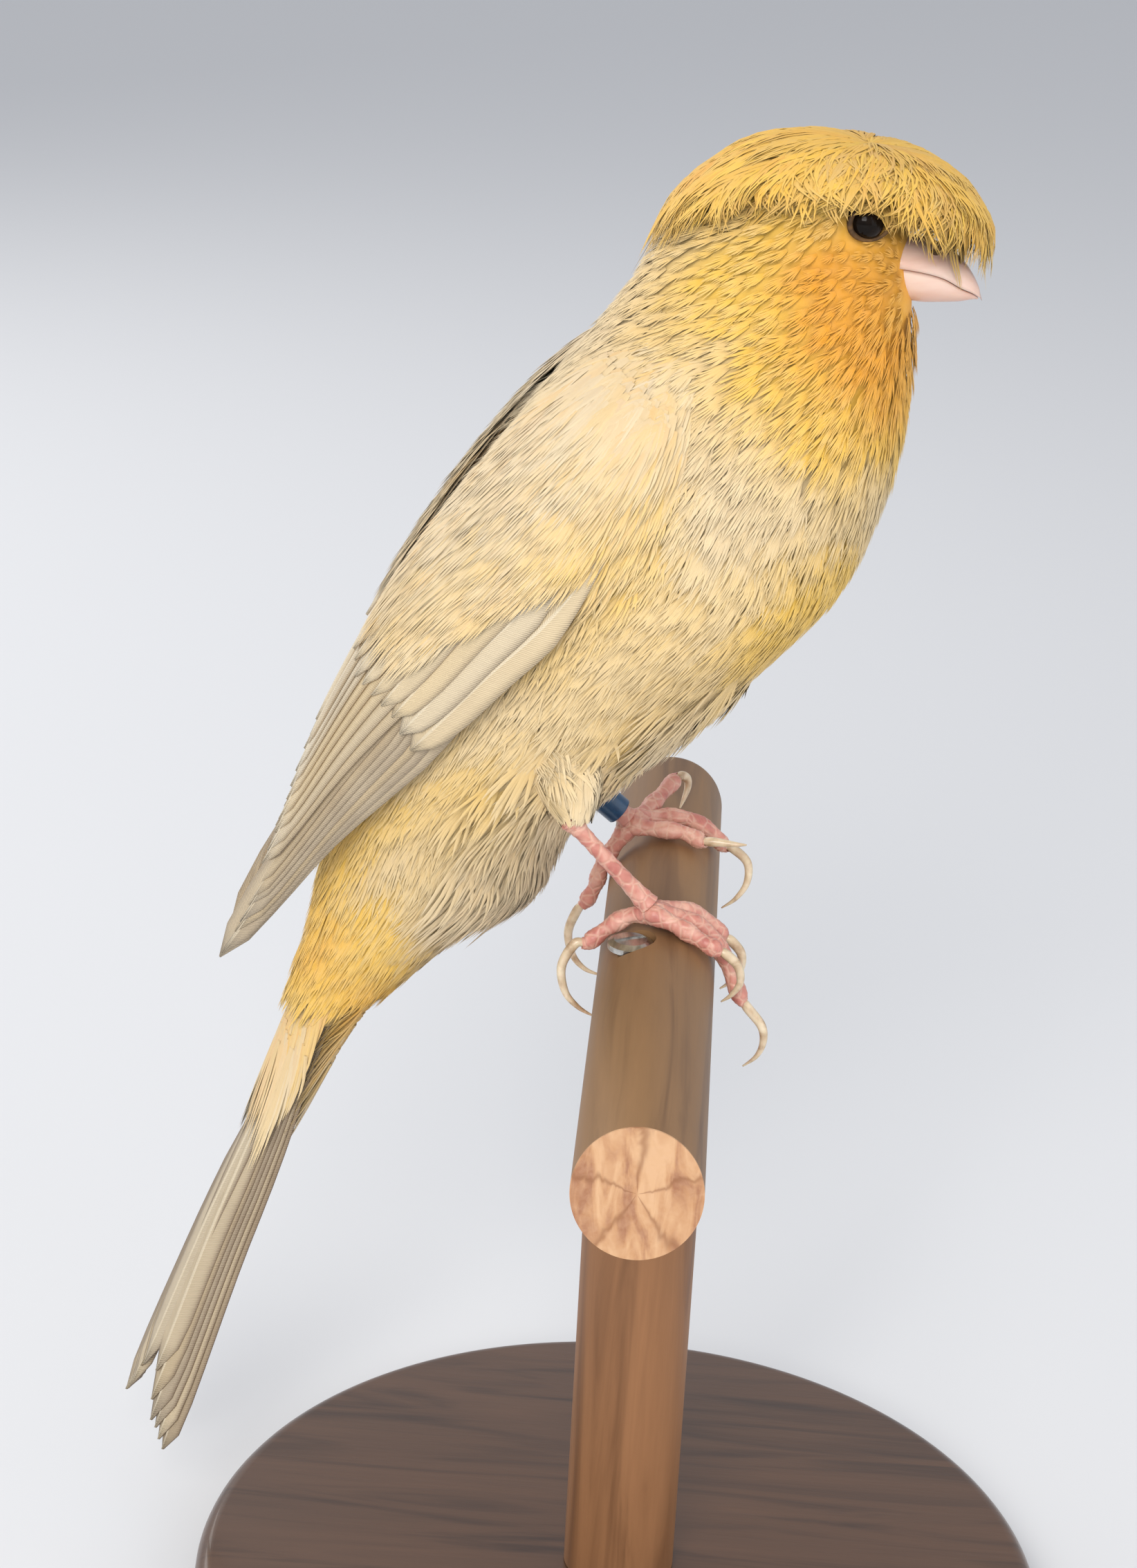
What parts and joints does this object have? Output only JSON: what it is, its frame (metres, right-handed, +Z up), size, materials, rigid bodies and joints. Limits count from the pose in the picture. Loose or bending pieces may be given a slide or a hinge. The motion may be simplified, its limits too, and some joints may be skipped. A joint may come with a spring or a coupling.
{
  "type": "canary",
  "caption": "Life-size crested canary perching on a short round wooden perch, held by a round-based display stand.",
  "frame": {"origin": "middle of the underside of the stand's base, under the post", "axes": "+X the way the bird faces, +Y the bird's left, along the perch, +Z up"},
  "size_m": [0.1299, 0.1215, 0.2038],
  "materials": {
    "plumage": "soft yellow, cream and buff feathers with streaks",
    "bill_horn": "smooth pink horn",
    "eye": "wet dark brown, glossy",
    "leg_skin": "pink scaly skin",
    "claw_horn": "pale horn",
    "ring_metal": "dark blue, satin",
    "perch_wood": "bare sanded softwood, brown with grain",
    "screw_steel": "worn steel",
    "base_wood": "dark stained, satin varnish"
  },
  "bodies": {
    "root": {"torso": "plumage", "neck": "plumage", "head": "plumage", "crest": "plumage", "eye_left": "eye", "eye_right": "eye", "bill_upper": "bill_horn", "bill_lower": "bill_horn", "wing_left": "plumage", "wing_right": "plumage", "tail": "plumage", "thigh_left": "plumage", "tarsus_left": "leg_skin", "foot_left": "leg_skin", "claw_hind_left": "claw_horn", "claw_outer_left": "claw_horn", "claw_middle_left": "claw_horn", "claw_inner_left": "claw_horn", "thigh_right": "plumage", "tarsus_right": "leg_skin", "foot_right": "leg_skin", "claw_hind_right": "claw_horn", "claw_outer_right": "claw_horn", "claw_middle_right": "claw_horn", "claw_inner_right": "claw_horn", "leg_ring": "ring_metal", "perch_dowel": "perch_wood", "perch_screw": "screw_steel", "stand_post": "perch_wood", "stand_base": "base_wood"}
  },
  "joints": []
}
